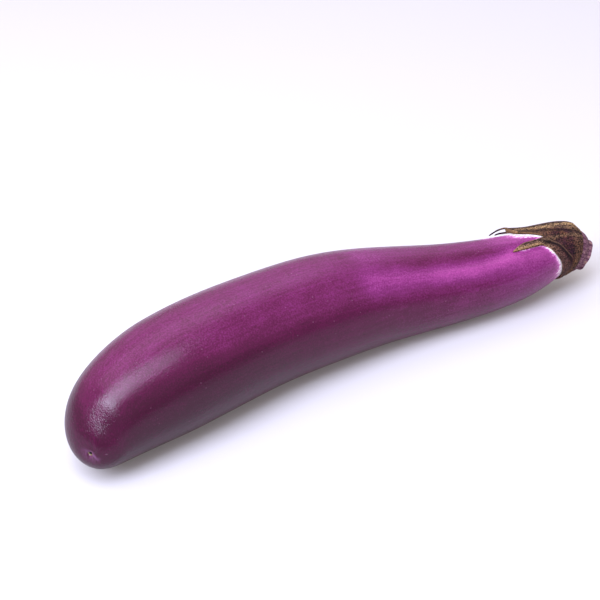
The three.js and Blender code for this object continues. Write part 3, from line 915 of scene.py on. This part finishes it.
def with_crease_shade(tree, colour, at):
    """Painted shade makes the creases nearly black, one where the leaf folds over beside the front lobe, with
    a rolled tan edge above it that carries a painted highlight, and one below the top midrib."""
    begins = add(tree, "MapRange", {"Value": at["lobe"], "From Min": 1.0, "From Max": 0.85})
    ends = add(tree, "MapRange", {"Value": at["mouth"], "From Min": 0.3, "From Max": 0.06})
    folded = add(tree, "Math", {0: begins, 1: ends}, operation="MULTIPLY")
    # Painted highlight on the rolled tan edge above the fold.
    rolled = add(tree, "MapRange", {"Value": at["fold"], "From Min": -6.5, "From Max": -0.5})
    rolled = add(tree, "ValToRGB", {"Fac": rolled}, stops=[
        (0.0, "#000000"), (0.35, "#a0a0a0"), (0.75, "#a0a0a0"), (1.0, "#000000"),
    ])
    rolled = add(tree, "Math", {0: rolled, 1: folded}, operation="MULTIPLY")
    colour = add(tree, "MixRGB", {"Fac": rolled, "Color1": colour, "Color2": linear("#735a44")})
    # Painted shade in the crease where the leaf folds over, and in the crease below the top midrib.
    crease = add(tree, "MapRange", {"Value": at["fold"], "From Min": -2.5, "From Max": 9.0})
    crease = add(tree, "ValToRGB", {"Fac": crease}, stops=[
        (0.0, "#000000"), (0.2, "#f0f0f0"), (0.42, "#f0f0f0"), (1.0, "#000000"),
    ])
    crease = add(tree, "Math", {0: crease, 1: folded}, operation="MULTIPLY")
    under = add(tree, "MapRange", {"Value": at["rib_side"], "From Min": -5.0, "From Max": 6.0})
    under = add(tree, "ValToRGB", {"Fac": under}, stops=[
        (0.0, "#000000"), (0.3, "#c8c8c8"), (0.5, "#c8c8c8"), (1.0, "#000000"),
    ])
    crease = add(tree, "Math", {0: crease, 1: under}, operation="MAXIMUM")
    return add(tree, "MixRGB", {"Fac": crease, "Color1": colour, "Color2": linear("#170d10")})


def dried_calyx():
    """Dried leaf of the calyx: dull plum brown, mottled and specked, with worn tan ribs and lobes,
    a thin torn rim with a painted shadow line inside it, and creases that painted shade makes nearly black."""
    material, tree = new_material("calyx_dried_leaf")
    straight = add(tree, "Attribute", attribute_name="straight").outputs["Vector"]
    at = {
        name: add(tree, "Attribute", attribute_name=name).outputs["Fac"]
        for name in ("edge_gap", "rib", "fold", "rib_side", "rib_top", "lobe", "mouth")
    }
    # Fibres 0.6 mm apart and 5 mm long, specks of 0.6 mm.
    lengthwise = add(tree, "Mapping", {"Vector": straight, "Scale": spaced(0.625, 0.625, 5)})
    fibres = add(tree, "TexNoise", {"Vector": lengthwise, "Scale": 1.0, "Detail": 2.0})
    specks = add(tree, "TexNoise", {"Vector": straight, "Scale": spaced(0.625), "Detail": 1.0})
    colour = mottled_leaf(tree, straight, at)
    colour = with_worn_ribs(tree, colour, fibres, at)
    colour = with_front_lobe(tree, colour, straight, at)
    speck_light = add(tree, "MapRange", {
        "Value": specks, "From Min": 0.38, "From Max": 0.62, "To Min": 0.12, "To Max": 2.5,
    })
    colour = add(tree, "MixRGB", {"Fac": 1.0, "Color1": colour, "Color2": speck_light}, blend_type="MULTIPLY")
    colour = with_rim_and_shadow_line(tree, colour, at)
    colour = with_crease_shade(tree, colour, at)
    relief = add(tree, "Math", {0: specks, 1: 0.8, 2: fibres}, operation="MULTIPLY_ADD")
    dry_surface(tree, colour, relief, depth=0.6)
    return material


def dried_thread():
    """A leaf tip dried to a thread: brown where it leaves the lobe, nearly black purple to its tip."""
    material, tree = new_material("calyx_dried_thread")
    straight = add(tree, "Attribute", attribute_name="straight").outputs["Vector"]
    dryness = add(tree, "Attribute", attribute_name="dryness").outputs["Fac"]
    # Spots of 1.1 mm.
    spots = add(tree, "TexNoise", {"Vector": straight, "Scale": spaced(1.11), "Detail": 3.0})
    leaf = add(tree, "ValToRGB", {"Fac": spots}, stops=[(0.35, "#3c2620"), (0.65, "#7c614a")])
    dry = add(tree, "ValToRGB", {"Fac": spots}, stops=[(0.35, "#16080f"), (0.7, "#381c27")])
    dried = add(tree, "MapRange", {"Value": dryness, "From Min": 0.25, "From Max": 0.6})
    colour = add(tree, "MixRGB", {"Fac": dried, "Color1": leaf, "Color2": dry})
    dry_surface(tree, colour, spots, depth=0.2, strength=0.8, roughness=0.8)
    return material


def dried_stem():
    """Bark of the dried stalk: purple brown, ridged lengthwise, with straw pith on the cut."""
    material, tree = new_material("stem_dried_bark")
    straight = add(tree, "Attribute", attribute_name="straight").outputs["Vector"]
    cut = add(tree, "Attribute", attribute_name="cut").outputs["Fac"]
    # Ridges 0.8 mm apart and 8 mm long, specks of 0.7 mm.
    lengthwise = add(tree, "Mapping", {"Vector": straight, "Scale": spaced(0.833, 0.833, 8.33)})
    ridges = add(tree, "TexNoise", {"Vector": lengthwise, "Scale": 1.0, "Detail": 3.0})
    specks = add(tree, "TexNoise", {
        "Vector": straight, "Scale": spaced(0.667), "Detail": 3.0, "Roughness": 0.7,
    })
    relief = add(tree, "Math", {0: specks, 1: 0.6, 2: ridges}, operation="MULTIPLY_ADD")
    bark = add(tree, "ValToRGB", {"Fac": relief}, stops=[
        (0.55, "#341a26"), (0.75, "#5c3a49"), (0.88, "#7a5565"), (1.0, "#957769"),
    ])
    pith = add(tree, "ValToRGB", {"Fac": specks}, stops=[
        (0.3, "#6b5138"), (0.55, "#a58d66"), (0.8, "#c7b48c"),
    ])
    colour = add(tree, "MixRGB", {"Fac": cut, "Color1": bark, "Color2": pith})
    dry_surface(tree, colour, relief, depth=0.5)
    return material


make_fruit(eggplant_skin())
make_calyx(dried_calyx())
thread_material = dried_thread()
for thread_name in THREADS:
    make_thread(thread_name, thread_material)
make_stem(dried_stem())


# ---------------------------------------------------------------- floor, light and camera

# Soft boxes: name, direction from the object, distance, width, height, radiance, colour and the
# direction of the width.
SOFTBOXES = [
    ("softbox_low", (-0.755, -0.16, 0.635), 1.2, 0.56, 0.54, 15.5, "#e2e6ff", (0.62, -0.05, 0.78)),
    ("softbox_middle", (-0.41, -0.17, 0.9), 1.2, 0.56, 0.66, 8.0, "#e2e6ff", (0.85, -0.2, 0.5)),
    ("softbox_high", (-0.08, -0.3, 0.95), 1.2, 0.7, 0.6, 5.0, "#e2e6ff", (0.97, -0.2, 0.15)),
    ("softbox_above", (0, 0.42, 0.9), 1.4, 1.8, 0.9, 1.3, "#f4f4ff", (1, 0, 0)),
]
FLOOR_HALF_SIZE = 4
# The camera: degrees round from the front and above the table, field of view, distance in metres,
# and the point in millimetres that it looks at.
CAMERA_AZIMUTH, CAMERA_ELEVATION, CAMERA_VIEW = -36.6, 35, 24
CAMERA_DISTANCE, CAMERA_TARGET = 0.71, Vector((13.06, 46.39, -0.35))


def add_floor():
    """Matt white board, with a little light of its own in place of the light that a studio scatters."""
    bm = bmesh.new()
    bmesh.ops.create_grid(bm, x_segments=1, y_segments=1, size=FLOOR_HALF_SIZE)
    mesh = bpy.data.meshes.new("studio_floor")
    bm.to_mesh(mesh)
    bm.free()
    floor = bpy.data.objects.new("studio_floor", mesh)
    bpy.context.scene.collection.objects.link(floor)
    material, tree = new_material("white_studio_board")
    shader = add(tree, "BsdfPrincipled", {
        "Base Color": linear("#b9b8b9"), "Roughness": 0.9, "Specular IOR Level": 0.1,
        "Emission Color": linear("#fff4f6"), "Emission Strength": 0.085,
    })
    add(tree, "OutputMaterial", {"Surface": shader})
    mesh.materials.append(material)


def add_softbox(name, direction, distance, width, height, radiance, colour, long_axis):
    """A rectangle of light that faces the object, with its width along long_axis."""
    light = bpy.data.lights.new(name, "AREA")
    light.shape = "RECTANGLE"
    light.size, light.size_y = width, height
    light.energy = radiance * width * height * math.pi
    light.color = linear(colour)[:3]
    box = bpy.data.objects.new(name, light)
    bpy.context.scene.collection.objects.link(box)
    back = Vector(direction).normalized()
    across = Vector(long_axis)
    across = (across - back * across.dot(back)).normalized()
    up = back.cross(across)
    box.location = back * distance
    box.rotation_mode = "QUATERNION"
    box.rotation_quaternion = Matrix((across, up, back)).transposed().to_quaternion()


def add_air():
    """Pale light from all round, stronger from above and from behind."""
    world = bpy.data.worlds.new("studio_air")
    world.use_nodes = True
    tree = world.node_tree
    tree.nodes.clear()
    direction = add(tree, "TexCoord").outputs["Generated"]
    direction = add(tree, "SeparateXYZ", {"Vector": direction}).outputs
    from_above = add(tree, "MapRange", {
        "Value": direction["Z"], "From Min": -0.4, "From Max": 0.5, "To Min": 0.0, "To Max": 0.78,
    }, interpolation_type="SMOOTHSTEP")
    from_behind = add(tree, "MapRange", {
        "Value": direction["Y"], "From Min": -0.2, "From Max": 0.5, "To Min": 0.0, "To Max": 0.2,
    }, interpolation_type="SMOOTHSTEP")
    strength = add(tree, "Math", {0: from_above, 1: from_behind}, operation="ADD")
    air = add(tree, "Background", {"Color": linear("#fff5f8"), "Strength": strength})
    add(tree, "OutputWorld", {"Surface": air})
    bpy.context.scene.world = world
    bpy.context.scene.view_settings.view_transform = "Standard"


def add_camera():
    azimuth, elevation = math.radians(CAMERA_AZIMUTH), math.radians(CAMERA_ELEVATION)
    back = Vector((
        math.sin(azimuth) * math.cos(elevation),
        -math.cos(azimuth) * math.cos(elevation),
        math.sin(elevation),
    ))
    lens = bpy.data.cameras.new("camera")
    lens.sensor_width = 36
    lens.angle = math.radians(CAMERA_VIEW)
    lens.clip_start = 0.01
    camera = bpy.data.objects.new("camera", lens)
    bpy.context.scene.collection.objects.link(camera)
    camera.rotation_mode = "QUATERNION"
    camera.rotation_quaternion = (-back).to_track_quat("-Z", "Y")
    camera.location = CAMERA_TARGET * MM + back * CAMERA_DISTANCE
    bpy.context.scene.camera = camera


add_air()
add_floor()
for softbox in SOFTBOXES:
    add_softbox(*softbox)
add_camera()
